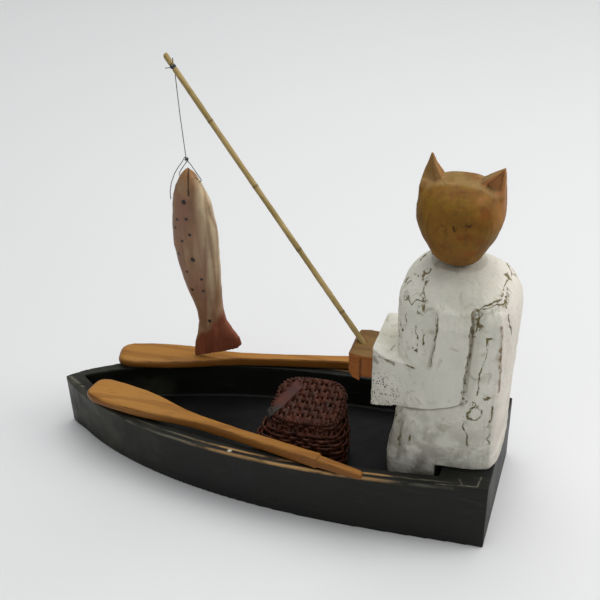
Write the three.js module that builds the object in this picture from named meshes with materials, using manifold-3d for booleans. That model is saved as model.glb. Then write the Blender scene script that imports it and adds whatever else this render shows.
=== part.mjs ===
// Carved wooden cat fishing from a rowing boat, in millimetres.
// Frame: origin in the middle of the boat's flat bottom, +Z up, bow towards -X, stern towards +X.
import * as THREE from "three";
import { mergeVertices } from "three/addons/utils/BufferGeometryUtils.js";
import Module from "manifold-3d";

const wasm = await Module();
wasm.setup();

const GAP = 0.3; // clearance between touching pieces

// ---- boat ----
const BOAT_LENGTH = 300;
const BOW_X = -BOAT_LENGTH / 2;
const STERN_X = BOAT_LENGTH / 2;
const SHEER_MID = 42.1; // height of the gunwale amidships
const SHEER_SLOPE = 0.035; // the gunwale rises towards the stern
const FLOOR_MID = 18; // height of the hollow's floor amidships
const FLOOR_SLOPE = 0.05;
const RIM = 10; // thickness of the side walls
const SEAT_FRONT_X = 118.5; // the block is left solid from here to the transom
const HOLLOW_BOW_X = -138.5;
const RIM_SKEW = [5, -3.2]; // at the bow the near wall is this much thicker and the far one thinner
const STEM_RAKE = 2; // the stem's foot lies this far behind its head
const FLARE = 3.9; // the sides lean out by this much over their height, less towards the transom

const sheerAt = (x) => SHEER_MID + SHEER_SLOPE * x;
const floorAt = (x) => FLOOR_MID + FLOOR_SLOPE * x;

// Half the beam at a fraction u of the length from the bow: full amidships, a little narrower at the transom.
const halfBeam = (u) => 405 * u ** 0.946 * (1 - 0.882 * u ** 0.248);
const halfBeamAtX = (x) => halfBeam((x - BOW_X) / BOAT_LENGTH);

// ---- cat ----
const ARM_HALF = 34.8; // half the width over the arms
const TORSO_TOP = 176;
const NECK_X = 114;
const HEAD_BASE = TORSO_TOP + 0.4;
const NECK_PEG_R = 4;
const SEAT_PEG_R = 3;
const SEAT_PEG_X = 134;
const SEAT_PEG_Y = 12;
const WRIST_PEG_R = 2.5;
const WRIST_Z = 90;
const CUFF_X = 69.5; // front face of the joined cuffs
const LEG_BACK_X = 114; // the legs go down into the hollow in front of here

// ---- rod, line and fish ----
const ROD_R = 1.6;
const ROD_ENTRY = new THREE.Vector3(59.4, -1.5, 106.25); // where the rod's axis meets the top of the paws
const ROD_TIP = new THREE.Vector3(-77.6, 35.2, 267);
const ROD_INSERTED = 11;
const THREAD = 0.5; // diameter of the thread
const KNOT_FROM_TIP = 9; // the line is tied this far from the rod's tip
const BRIDLE = new THREE.Vector3(-67.1, 35, 197.9); // the knot the fish hangs from
const FISH_LEAN = THREE.MathUtils.degToRad(6.3); // the tail leans towards the stern
const FISH_HALF_THICK = 7;

// ---- paddles ----
const PADDLES = {
  paddle_near: { tip: [-123.3, -13.8], heading: -12.5 },
  paddle_far: { tip: [-120.3, 27.2], heading: 10.2 },
};

// ---- helpers ----
const X = new THREE.Vector3(1, 0, 0);
const Y = new THREE.Vector3(0, 1, 0);
const Z = new THREE.Vector3(0, 0, 1);

// A geometry as a manifold-3d solid, and back.
function solid(geometry) {
  const plain = geometry.clone();
  plain.deleteAttribute("normal");
  plain.deleteAttribute("uv");
  const merged = mergeVertices(plain, 1e-4);
  const mesh = new wasm.Mesh({
    numProp: 3,
    vertProperties: merged.attributes.position.array,
    triVerts: new Uint32Array(merged.index.array),
  });
  return new wasm.Manifold(mesh);
}

function geometryOf(body) {
  const mesh = body.getMesh();
  const geometry = new THREE.BufferGeometry();
  geometry.setAttribute("position", new THREE.BufferAttribute(mesh.vertProperties.slice(), 3));
  geometry.setIndex(new THREE.BufferAttribute(mesh.triVerts.slice(), 1));
  const flat = geometry.toNonIndexed();
  flat.computeVertexNormals();
  return flat;
}

// A closed solid through rings of equally many points, each anticlockwise seen from the stack's end.
function loft(rings) {
  const n = rings[0].length;
  const positions = [];
  const index = [];
  rings.forEach((ring) => ring.forEach((p) => positions.push(p.x, p.y, p.z)));
  for (let r = 0; r + 1 < rings.length; r++)
    for (let i = 0; i < n; i++) {
      const a = r * n + i;
      const b = r * n + ((i + 1) % n);
      index.push(a, b, b + n, a, b + n, a + n);
    }
  const cap = (ring, offset, last) => {
    const middle = ring.reduce((sum, p) => sum.add(p), new THREE.Vector3()).divideScalar(n);
    const centre = positions.length / 3;
    positions.push(middle.x, middle.y, middle.z);
    for (let i = 0; i < n; i++) {
      const a = offset + i;
      const b = offset + ((i + 1) % n);
      index.push(...(last ? [centre, a, b] : [centre, b, a]));
    }
  };
  cap(rings[0], 0, false);
  cap(rings[rings.length - 1], (rings.length - 1) * n, true);
  const geometry = new THREE.BufferGeometry();
  geometry.setAttribute("position", new THREE.Float32BufferAttribute(positions, 3));
  geometry.setIndex(index);
  return solid(geometry);
}

// Rows of numbers with smooth rows added between them, `times` to each step.
function smoothed(rows, times) {
  const curve = (a, b, c, d, t) =>
    0.5 * (2 * b + (c - a) * t + (2 * a - 5 * b + 4 * c - d) * t * t + (3 * b - a - 3 * c + d) * t ** 3);
  const fine = [];
  for (let r = 0; r + 1 < rows.length; r++)
    for (let k = 0; k < times; k++) {
      const before = rows[Math.max(0, r - 1)];
      const after = rows[Math.min(rows.length - 1, r + 2)];
      fine.push(rows[r].map((value, i) => curve(before[i], value, rows[r + 1][i], after[i], k / times)));
    }
  fine.push(rows[rows.length - 1]);
  return fine;
}

// Points round a rounded rectangle of half size 1: roundness 1 gives a circle, smaller a squarer outline.
function roundedSquare(count, roundness) {
  const powered = (value) => Math.sign(value) * Math.abs(value) ** roundness;
  const points = [];
  for (let i = 0; i < count; i++) {
    const a = (i / count) * 2 * Math.PI;
    points.push([powered(Math.cos(a)), powered(Math.sin(a))]);
  }
  return points;
}

// A profile pushed along one axis: "across" takes (x, z) points, "along" takes (y, z), "up" takes (x, y).
function prism(points, direction, from, to) {
  const shape = new THREE.Shape(points.map(([a, b]) => new THREE.Vector2(a, b)));
  const geometry = new THREE.ExtrudeGeometry(shape, { depth: to - from, bevelEnabled: false });
  geometry.translate(0, 0, from);
  const basis = new THREE.Matrix4();
  if (direction === "across") basis.makeBasis(X, Z, Y.clone().negate());
  if (direction === "along") basis.makeBasis(Y, Z, X);
  if (direction === "up") basis.makeBasis(X, Y, Z);
  return solid(geometry.applyMatrix4(basis));
}

const mirrored = (half) => [...half, ...half.map(([a, b]) => [-a, b]).reverse()];

// A round bar from one point to another.
function bar(from, to, radius, segments = 24) {
  const length = from.distanceTo(to);
  const geometry = new THREE.CylinderGeometry(radius, radius, length, segments);
  const turn = new THREE.Quaternion().setFromUnitVectors(Y, to.clone().sub(from).normalize());
  geometry.applyQuaternion(turn);
  const middle = from.clone().lerp(to, 0.5);
  return solid(geometry.translate(middle.x, middle.y, middle.z));
}

// Round bars standing upright at (x, y), and lying level along X in the middle plane.
const upright = (x, y, from, to, radius) => bar(new THREE.Vector3(x, y, from), new THREE.Vector3(x, y, to), radius);
const level = (from, to, z, radius) => bar(new THREE.Vector3(from, 0, z), new THREE.Vector3(to, 0, z), radius);

// A thread through points: eight sides, stepped every 2.5 diameters.
function thread(points) {
  const path = new THREE.CatmullRomCurve3(points, false, "centripetal");
  const section = new THREE.Shape();
  for (let i = 0; i < 8; i++) {
    const a = (i / 8) * 2 * Math.PI;
    const corner = [(Math.cos(a) * THREAD) / 2, (Math.sin(a) * THREAD) / 2];
    if (i === 0) section.moveTo(...corner);
    else section.lineTo(...corner);
  }
  const steps = Math.min(80, Math.ceil(path.getLength() / (2.5 * THREAD)));
  return solid(new THREE.ExtrudeGeometry(section, { steps, bevelEnabled: false, extrudePath: path }));
}

// ---- boat ----
const HULL_STATIONS = 30;

// The boat's outline at one level, heights from heightAt: rake and flare fade out towards the gunwale (share 1).
function outlineRing(share, heightAt) {
  const stations = [];
  for (let i = 0; i <= HULL_STATIONS; i++) stations.push((i / HULL_STATIONS) ** 1.5);
  const side = stations.map((u) => {
    const x = BOW_X + u * BOAT_LENGTH + STEM_RAKE * (1 - share) * (1 - u);
    const flare = FLARE * Math.min(1, 25 * u) * (1 - u ** 8);
    const y = Math.max(0, halfBeam(u) - flare * (1 - share));
    return new THREE.Vector3(x, y, heightAt(x));
  });
  const near = side.map((p) => new THREE.Vector3(p.x, -p.y, p.z));
  return [...near, ...side.slice(1).reverse()];
}

// The hollow's outline at one level. Its bow end is cut a little off centre, which fades out within 70 mm.
function hollowRing(inset, heightAt) {
  const n = 26;
  const [near, far] = RIM_SKEW.map((skew, side) => {
    const wall = [];
    for (let i = 0; i <= n; i++) {
      const x = HOLLOW_BOW_X + inset + (SEAT_FRONT_X - HOLLOW_BOW_X - inset) * (i / n);
      const thickness = RIM + skew * Math.max(0, 1 - (x - HOLLOW_BOW_X) / 70);
      const y = halfBeamAtX(x) - thickness - inset;
      wall.push(new THREE.Vector3(x, side ? y : -y, heightAt(x)));
    }
    return wall;
  });
  return [...near, ...far.reverse()];
}

function hull() {
  const block = loft([outlineRing(0, () => 0), outlineRing(1, sheerAt)]);
  const hollow = loft([hollowRing(1, floorAt), hollowRing(0, (x) => sheerAt(x) + 4)]);
  let carved = block.subtract(hollow);
  for (const y of [-SEAT_PEG_Y, SEAT_PEG_Y])
    carved = carved.subtract(upright(SEAT_PEG_X, y, 33, 60, SEAT_PEG_R + GAP));
  return carved;
}

// ---- cat ----
function catBody() {
  // height, front, back, half width, roundness of the plan
  const levels = [
    [15, 90, 151, 31, 0.42],
    [22, 86.2, 151, 31.6, 0.42],
    [26, 83.6, 151, 32, 0.42],
    [32, 82.2, 151, 32.2, 0.43],
    [48, 82, 151.3, 33, 0.46],
    [84, 84.5, 151.8, 33, 0.6],
    [117, 83, 152.8, 32.6, 0.62],
    [146, 81.8, 153.6, 32, 0.64],
    [156, 82.5, 152.2, 30.5, 0.68],
    [164, 86, 148, 27, 0.72],
    [170.5, 91.5, 140.5, 21.5, 0.76],
    [TORSO_TOP, 98.5, 131, 14.5, 0.8],
  ];
  const block = loft(
    smoothed(levels, 3).map(([z, x0, x1, halfY, roundness]) =>
      roundedSquare(40, roundness).map(
        ([c, d]) => new THREE.Vector3((x0 + x1) / 2 + ((x1 - x0) / 2) * c, halfY * d, z),
      ),
    ),
  );
  const underneath = (heightAt, from) => {
    const [start, end] = [heightAt(from) + GAP, heightAt(170) + GAP];
    return prism([[from, 0], [170, 0], [170, end], [from, start]], "across", -40, 40);
  };
  const torso = block.subtract(underneath(floorAt, 60)).subtract(underneath(sheerAt, LEG_BACK_X));

  // Upper arms hang from the shoulders; the forearms run forward and meet in one broad cuff.
  const armSide = [[108.5, 110], [108, 150], [106, 166], [132, 166], [130, 150], [128.5, 98], [120, 95]];
  const armFront = mirrored([
    [20, 85],
    [ARM_HALF, 92],
    [ARM_HALF, 148],
    [32.6, 155],
    [28, 162],
    [18, 166],
  ]);
  const upperArms = prism(armSide, "across", -40, 40).intersect(prism(armFront, "along", 90, 150));
  const sleeveSide = [
    [CUFF_X, 75],
    [86, 82],
    [97, 86],
    [110, 89.5],
    [121, 93.6],
    [128, 98],
    [129, 112],
    [108, 118.5],
    [80, 115],
    [CUFF_X, 117],
  ];
  const sleevePlan = mirrored([
    [20, CUFF_X],
    [21.2, CUFF_X + 0.8],
    [24.5, 77],
    [33.5, 103.5],
    [ARM_HALF, 108.5],
    [ARM_HALF, 129],
  ]);
  const sleeves = prism(sleeveSide, "across", -40, 40).intersect(
    prism(sleevePlan.map(([y, x]) => [x, -y]), "up", 60, 130),
  );

  let body = torso.add(upperArms).add(sleeves);
  body = body.subtract(upright(NECK_X, 0, 159.5, 190, NECK_PEG_R + GAP));
  body = body.subtract(level(60, 80.3, WRIST_Z, WRIST_PEG_R + GAP));
  for (const y of [-SEAT_PEG_Y, SEAT_PEG_Y])
    body = body.subtract(upright(SEAT_PEG_X, y, 40, 60, SEAT_PEG_R + GAP));
  return body;
}

// Box-shaped levels, as height, least x and greatest x beside the neck's middle, front y and back y.
function tower(levels) {
  const corners = ([z, x0, x1, front, back]) =>
    [[x0, front], [x1, front], [x1, back], [x0, back]].map(([x, y]) => new THREE.Vector3(NECK_X + x, y, z));
  return loft(levels.map(corners));
}

// The ears stand a little differently, as carved; each is cut away in front down into the brow.
function farEar() {
  const block = tower([
    [203, -24.6, -13, -5.5, 6.5],
    [212, -25.2, -10, -7, 8],
    [222, -25, -10, -5.4, 7.4],
    [229.5, -23.4, -12.5, -3.2, 5.2],
    [235.5, -21.5, -16.4, -0.9, 3.9],
    [241.3, -19.8, -18.8, 1.4, 2.6],
  ]);
  const cut = tower([
    [218.5, -30, -15.6, -40, -22],
    [227, -30, -15.6, -40, -1.8],
    [234, -30, -17.6, -40, 0.6],
    [240.3, -30, -19.2, -40, 1.5],
  ]);
  return block.subtract(cut);
}

function nearEar() {
  const block = tower([
    [203, 13, 24.2, -5.5, 6.5],
    [212, 10, 24.6, -7, 8],
    [222, 8, 23.9, -5.4, 7.4],
    [229.5, 10.6, 23.4, -3.7, 4.7],
    [235.5, 18.2, 23.2, -2.9, 1.9],
    [239, 22.3, 23, -1.6, -0.4],
  ]);
  const cut = tower([
    [217.5, 7, 20.8, -40, -22],
    [226.5, 12, 21.4, -40, -1.8],
    [233.5, 18, 22, -40, -1],
    [238, 22, 22.4, -40, -1.2],
  ]);
  return block.subtract(cut);
}

function catHead() {
  // height, half width, front, back, roundness of the plan
  const levels = [
    [HEAD_BASE, 9.5, -8.5, 10.5, 0.9],
    [182, 14.3, -16.6, 14.8, 0.85],
    [190, 18.3, -21.3, 18.2, 0.8],
    [198, 22.3, -23.6, 20.5, 0.75],
    [207, 25, -24.8, 21.8, 0.72],
    [214.5, 24.7, -23.6, 21.3, 0.74],
    [221.5, 21.8, -19.5, 18, 0.8],
    [227, 15, -12.5, 12, 0.9],
    [229.2, 6, -5, 5, 1],
  ];
  const rings = smoothed(levels, 3).map(([z, halfX, front, back, roundness]) =>
    roundedSquare(36, roundness).map(
      ([c, d]) => new THREE.Vector3(NECK_X + halfX * c, (front + back) / 2 + ((back - front) / 2) * d, z),
    ),
  );
  let head = loft(rings);
  head = head.add(farEar()).add(nearEar());
  return head.subtract(upright(NECK_X, 0, 170, 192.5, NECK_PEG_R + GAP));
}

const rodDirection = ROD_TIP.clone().sub(ROD_ENTRY).normalize();

function pawBlock() {
  const back = CUFF_X - GAP;
  const side = [[52.8, 93], [56.5, 89], [62, 87.5], [back, 88], [back, 107], [54.5, 107], [52.8, 105.4]];
  const plan = [
    [back, -16.3],
    [61.5, -16.3],
    [54, -14.8],
    [52.8, -12.5],
    [52.8, 8],
    [54.6, 12],
    [61, 13.4],
    [back, 12.5],
  ];
  const block = prism(side, "across", -40, 40).intersect(prism(plan, "up", 70, 120));
  const holeEnd = ROD_ENTRY.clone().addScaledVector(rodDirection, -ROD_INSERTED - GAP);
  const holeMouth = ROD_ENTRY.clone().addScaledVector(rodDirection, 12);
  return block
    .subtract(bar(holeEnd, holeMouth, ROD_R + GAP))
    .subtract(level(59.7, 80, WRIST_Z, WRIST_PEG_R + GAP));
}

// ---- rod, line and fish ----
const tiedAt = ROD_TIP.clone().addScaledVector(rodDirection, -KNOT_FROM_TIP);

// The rod bows a little under the line's pull; the part in the paws is straight.
function rod() {
  const start = ROD_ENTRY.clone().addScaledVector(rodDirection, -ROD_INSERTED);
  const bow = new THREE.Vector3(-0.15, 0, -0.12);
  const path = new THREE.CatmullRomCurve3([
    start,
    ROD_ENTRY.clone().addScaledVector(rodDirection, 4),
    ROD_ENTRY.clone().lerp(ROD_TIP, 0.3).addScaledVector(bow, 0.5),
    ROD_ENTRY.clone().lerp(ROD_TIP, 0.6).add(bow),
    ROD_ENTRY.clone().lerp(ROD_TIP, 0.82).addScaledVector(bow, 0.7),
    ROD_TIP,
  ]);
  const section = new THREE.Shape().absarc(0, 0, ROD_R, 0, 2 * Math.PI);
  const sweep = { steps: 40, curveSegments: 16, bevelEnabled: false, extrudePath: path };
  const stick = solid(new THREE.ExtrudeGeometry(section, sweep));
  // The tip is cut to a blunt slant with two strokes of a knife.
  const below = new THREE.Vector3(-0.35, 0, 0.94);
  const above = new THREE.Vector3(-0.95, -0.3, 0.05);
  return stick
    .trimByPlane(below.clone().negate().toArray(), -ROD_TIP.clone().dot(below) - 0.2)
    .trimByPlane(above.clone().negate().toArray(), -ROD_TIP.clone().dot(above) - 0.6);
}

function rodKnot() {
  const coilRadius = ROD_R + GAP + THREAD / 2;
  const turns = 3;
  const pitch = THREAD + 0.15;
  const sideways = new THREE.Vector3().crossVectors(rodDirection, Z).normalize();
  const upwards = new THREE.Vector3().crossVectors(sideways, rodDirection);
  const around = (angle, radius, along) =>
    tiedAt
      .clone()
      .addScaledVector(sideways, Math.cos(angle) * radius)
      .addScaledVector(upwards, Math.sin(angle) * radius)
      .addScaledVector(rodDirection, along);
  const end = (x, y, z) => tiedAt.clone().add(new THREE.Vector3(x, y, z));
  const points = [end(0.6, -1.8, 6.4), end(0.9, -2, 3.8), around(Math.PI, coilRadius + 0.3, 1.6)];
  for (let i = 0; i <= 16 * turns; i++) {
    const along = (0.5 - i / (16 * turns)) * pitch * turns;
    points.push(around((i / 8 + 1) * Math.PI, coilRadius, along));
  }
  points.push(end(-2, -1.8, -2.2), end(-4.8, -1.6, -1.6));
  return thread(points);
}

const lineTop = new THREE.Vector3(-71.2, 34.2, 257.2);

function fishingLine() {
  const bottom = BRIDLE.clone().lerp(lineTop, 0.03);
  return thread([lineTop, lineTop.clone().lerp(bottom, 0.5).add(new THREE.Vector3(-0.3, 0, 0)), bottom]);
}

// Fish frame: s runs from the bridle knot down along the fish, w across it towards the stern.
const fishDown = new THREE.Vector3(Math.sin(FISH_LEAN), 0, -Math.cos(FISH_LEAN));
const fishAcross = new THREE.Vector3(Math.cos(FISH_LEAN), 0, Math.sin(FISH_LEAN));
const fishPoint = (w, s, y = 0) =>
  BRIDLE.clone().addScaledVector(fishAcross, w).addScaledVector(fishDown, s).add(new THREE.Vector3(0, y, 0));

const MOUTH_HOLE = [fishPoint(-12, 10.4), fishPoint(12, 15.6)];

function fish() {
  // down the fish: left edge, right edge, half thickness, and how far the end is cut on the slant
  const stations = [
    [6.6, -1.0, 1.2, 1.4],
    [8.6, -3.3, 2.3, 3.0],
    [11.5, -6, 4.7, 4.4],
    [17.5, -9.6, 7.2, 5.6],
    [23.5, -12.1, 9.6, 6.4],
    [31, -14.1, 11.8, FISH_HALF_THICK],
    [48, -17, 13.2, FISH_HALF_THICK],
    [61, -18, 12.7, FISH_HALF_THICK],
    [75, -17, 11.7, 6.8],
    [87, -15.4, 10.4, 6.3],
    [101, -12.3, 9.4, 5.4],
    [111, -9.8, 8.8, 4.7],
    [120, -9.9, 10.2, 4],
    [127, -11.4, 13.7, 3.4],
    [132.5, -13.2, 17.7, 3],
    [138, -15.6, 18.4, 2.6],
    [144.8, -17.6, 15.5, 2.4],
  ];
  const rings = stations.map(([s, left, right, thick], k) => {
    const slant = k === stations.length - 1 ? -0.26 : 0;
    return roundedSquare(24, 0.8).map(([c, d]) => {
      const w = (left + right) / 2 + ((right - left) / 2) * c;
      return fishPoint(w, s + slant * w, -thick * d);
    });
  });
  return loft(rings).subtract(bar(...MOUTH_HOLE, 0.75, 12));
}

function bridleLine() {
  return thread([
    fishPoint(-14.6, 28, -1.5),
    fishPoint(-14.3, 23, -1.2),
    fishPoint(-12.6, 16.6, -0.8),
    fishPoint(-9.4, 10, -0.4),
    fishPoint(-5.6, 4.6, 0),
    fishPoint(-2.4, 1.9, 0.6),
    fishPoint(-2.3, 3.4, 0.8),
    fishPoint(-4.6, 7.4, 0.4),
    fishPoint(-7.2, 10.2, 0),
    fishPoint(-6.4, 11.6, 0),
    fishPoint(0, 13, 0),
    fishPoint(7.4, 14.6, 0),
    fishPoint(8, 13.4, 0),
    fishPoint(5, 8.4, 0),
    fishPoint(2.3, 3.2, 0),
  ]);
}

function bridleKnot() {
  const knot = new THREE.SphereGeometry(1.1, 14, 10);
  knot.scale(1, 0.9, 1.15);
  return solid(knot.translate(BRIDLE.x, BRIDLE.y, BRIDLE.z));
}

// ---- creel ----
function creel() {
  const floorZ = floorAt(-8) + GAP;
  // centre x, centre y, half length, half depth, height above the floor at the middle, rise towards the back
  const levels = [
    [24, -14.5, 29, 17, 0, 0],
    [24, -14, 30.3, 18, 5, 0],
    [24.5, -12.5, 29.6, 17.6, 17, 0],
    [26, -9.5, 25.5, 16.5, 29, 0.22],
    [26.5, -8, 23.6, 16, 32.5, 0.36],
    [26.5, -8, 24, 16.2, 37, 0.42],
    [26.5, -8, 21.5, 14.2, 39.5, 0.44],
  ];
  const rings = levels.map(([cx, cy, halfLength, halfDepth, height, back]) =>
    roundedSquare(44, 0.55).map(([c, d]) => {
      const x = cx + halfLength * c * (1 - 0.06 * d);
      const base = floorZ + FLOOR_SLOPE * (x + 8);
      return new THREE.Vector3(x, cy + halfDepth * d, base + height + back * halfDepth * d);
    }),
  );
  return loft(rings);
}

// ---- paddles ----
function paddle({ tip, heading }) {
  // along the paddle from the blade's end: half width, half thickness
  const stations = [
    [0, 5, 2],
    [1.2, 7.4, 2.8],
    [3.5, 9.2, 3.3],
    [8, 10.8, 3.5],
    [20, 11.4, 3.5],
    [37, 11, 3.5],
    [50, 9.6, 3.5],
    [61, 7.6, 3.5],
    [72, 5.5, 3.5],
    [84, 4, 3.6],
    [110, 3.4, 3.6],
    [150, 3.8, 3.7],
    [172, 4.2, 3.8],
    [172.6, 3.3, 3.2],
    [192, 2.8, 2.7],
    [200.5, 2.4, 2.4],
    [202, 1.7, 1.7],
  ];
  const a = THREE.MathUtils.degToRad(heading);
  const normal = new THREE.Vector3(-SHEER_SLOPE, 0, 1).normalize();
  const along = new THREE.Vector3(Math.cos(a), Math.sin(a), SHEER_SLOPE * Math.cos(a)).normalize();
  const across = new THREE.Vector3().crossVectors(normal, along);
  const start = new THREE.Vector3(tip[0], tip[1], sheerAt(tip[0]));
  const lift = GAP + 3.8;
  const rings = stations.map(([s, halfWidth, halfThick]) =>
    roundedSquare(24, 0.45).map(([c, d]) =>
      start
        .clone()
        .addScaledVector(along, s)
        .addScaledVector(across, halfWidth * c)
        .addScaledVector(normal, lift + (halfThick - 3.8) * 0.5 + halfThick * d),
    ),
  );
  return loft(rings);
}

// ---- materials and the assembled group ----
const material = (color, roughness) => new THREE.MeshStandardMaterial({ color, roughness, metalness: 0 });
const blackPaint = material(0x25272a, 0.6);
const whitePaint = material(0xdcdad0, 0.75);
const golden = material(0x9c6a35, 0.6);
const bareWood = material(0x8a5229, 0.65);
const bamboo = material(0xb08a4e, 0.55);
const threadBlack = material(0x24221f, 0.8);
const fishPaint = material(0xa88372, 0.5);
const wicker = material(0x4a2019, 0.45);
const paleWood = material(0xb1793f, 0.6);

const root = new THREE.Group();
function place(name, body, look) {
  const mesh = new THREE.Mesh(geometryOf(body), look);
  mesh.name = name;
  root.add(mesh);
}

place("hull", hull(), blackPaint);
place("cat_body", catBody(), whitePaint);
place("cat_head", catHead(), golden);
place("neck_dowel", upright(NECK_X, 0, 160, 192, NECK_PEG_R), paleWood);
place("seat_peg_near", upright(SEAT_PEG_X, -SEAT_PEG_Y, 33.5, 59.5, SEAT_PEG_R), paleWood);
place("seat_peg_far", upright(SEAT_PEG_X, SEAT_PEG_Y, 33.5, 59.5, SEAT_PEG_R), paleWood);
place("paw_block", pawBlock(), bareWood);
place("wrist_dowel", level(60, 79.9, WRIST_Z, WRIST_PEG_R), paleWood);
place("rod", rod(), bamboo);
place("rod_tip_knot", rodKnot(), threadBlack);
place("fishing_line", fishingLine(), threadBlack);
place("bridle_knot", bridleKnot(), threadBlack);
place("bridle_line", bridleLine(), threadBlack);
place("fish", fish(), fishPaint);
place("creel", creel(), wicker);
for (const [name, layout] of Object.entries(PADDLES)) place(name, paddle(layout), paleWood);

export default root;
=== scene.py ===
"""Looks of a carved wooden cat fishing from a rowing boat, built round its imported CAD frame.

The frame is in metres, +Z up, bow towards -X. Lengths below are in millimetres unless noted.
"""
import math

import bpy
import bmesh
import numpy as np
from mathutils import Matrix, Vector
from mathutils.bvhtree import BVHTree


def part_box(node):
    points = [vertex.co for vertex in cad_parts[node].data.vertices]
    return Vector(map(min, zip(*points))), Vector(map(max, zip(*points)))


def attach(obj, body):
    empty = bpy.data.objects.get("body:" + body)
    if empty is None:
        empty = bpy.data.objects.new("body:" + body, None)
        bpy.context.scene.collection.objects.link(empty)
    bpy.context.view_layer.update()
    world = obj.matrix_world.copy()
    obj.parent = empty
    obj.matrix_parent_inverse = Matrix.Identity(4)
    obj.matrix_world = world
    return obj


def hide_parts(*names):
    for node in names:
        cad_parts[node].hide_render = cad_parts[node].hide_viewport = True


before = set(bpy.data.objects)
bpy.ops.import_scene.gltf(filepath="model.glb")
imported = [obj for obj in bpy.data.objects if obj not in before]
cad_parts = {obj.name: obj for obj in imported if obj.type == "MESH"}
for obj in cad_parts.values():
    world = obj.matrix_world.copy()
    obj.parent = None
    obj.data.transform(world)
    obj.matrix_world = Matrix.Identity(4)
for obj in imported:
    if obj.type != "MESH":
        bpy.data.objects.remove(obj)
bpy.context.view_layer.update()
MM = 0.001

# ---- camera ----
CAMERA_PLACE = (210.7, -657.7, 574.8)
CAMERA_TURN = 16.35  # degrees from straight across the boat, round towards the stern
CAMERA_DOWN = 33.0
LENS = 79.04
SENSOR = 36.0

# ---- stage: lights as name, place and aim in metres, size in metres, watts and colour ----
FLOOR_HALF = 4.0  # metres
FLOOR_TONES = ("e4e4e4", "dedfdf")
SKY_COLOUR = (0.96, 0.98, 1.0, 1)
SKY_STRENGTH = 0.31
LIGHTS = (
    ("overhead", (0.1, 0.35, 1.7), (0, 0.05, 0), 1.7, 20.5, (1, 1, 1)),
    ("right", (1.25, 0.35, 1.05), (0, 0, 0.1), 0.9, 8.6, (1, 0.985, 0.97)),
    ("front", (-0.2, -1.5, 1.3), (0, 0, 0.1), 1.3, 3.4, (1, 1, 1)),
)

# ---- line, bridle and fish ----
THREAD = 0.5
ROD_R = 1.6
ROD_ENTRY = np.array([59.4, -1.5, 106.25])
ROD_TIP = np.array([-77.6, 35.2, 267.0])
KNOT_FROM_TIP = 9.0
BRIDLE = np.array([-67.1, 35.0, 197.9])
FISH_LEAN = math.radians(6.3)
FISH_DOWN = np.array([math.sin(FISH_LEAN), 0, -math.cos(FISH_LEAN)])
FISH_ACROSS = np.array([math.cos(FISH_LEAN), 0, math.sin(FISH_LEAN)])
ROD_DIRECTION = (ROD_TIP - ROD_ENTRY) / np.linalg.norm(ROD_TIP - ROD_ENTRY)
TIED_AT = ROD_TIP - KNOT_FROM_TIP * ROD_DIRECTION
LINE_TOP = np.array([-71.2, 34.2, 257.2])


def linear(code):
    """An sRGB colour such as "c9c7ba" as linear red, green, blue and alpha."""
    parts = [int(code[i : i + 2], 16) / 255 for i in (0, 2, 4)]
    return [p / 12.92 if p <= 0.04045 else ((p + 0.055) / 1.055) ** 2.4 for p in parts] + [1.0]


def add_object(name, data):
    thing = bpy.data.objects.new(name, data)
    bpy.context.scene.collection.objects.link(thing)
    return thing


# ---- camera and stage ----
def make_camera():
    data = bpy.data.cameras.new("camera")
    data.lens = LENS
    data.sensor_width = SENSOR
    data.clip_start = 0.01
    data.clip_end = 20
    camera = add_object("camera", data)
    camera.location = Vector(CAMERA_PLACE) * MM
    camera.rotation_euler = (math.radians(90 - CAMERA_DOWN), 0, math.radians(CAMERA_TURN))
    bpy.context.scene.camera = camera


def add_area_light(name, place, target, size, power, colour):
    data = bpy.data.lights.new(name, "AREA")
    data.shape = "DISK"
    data.size = size
    data.energy = power
    data.color = colour
    light = add_object(name, data)
    light.location = place
    aim = Vector(target) - Vector(place)
    light.rotation_euler = aim.to_track_quat("-Z", "Y").to_euler()


def make_stage():
    floor = add_object("floor", bpy.data.meshes.new("floor"))
    corners = [(FLOOR_HALF * x, FLOOR_HALF * y, 0) for x, y in ((-1, -1), (1, -1), (1, 1), (-1, 1))]
    floor.data.from_pydata(corners, [], [(0, 1, 2, 3)])
    look = Look("floor_paper")
    look.colour = look.mix(look.noise(2.0, detail=2), *FLOOR_TONES)
    look.finish(0.9, look.noise(900, detail=2), bump=0.02)
    floor.data.materials.append(look.material)

    world = bpy.data.worlds.new("studio")
    bpy.context.scene.world = world
    world.use_nodes = True
    background = world.node_tree.nodes["Background"]
    background.inputs["Color"].default_value = SKY_COLOUR
    background.inputs["Strength"].default_value = SKY_STRENGTH
    for light in LIGHTS:
        add_area_light(*light)
    bpy.context.scene.view_settings.view_transform = "Standard"


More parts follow.
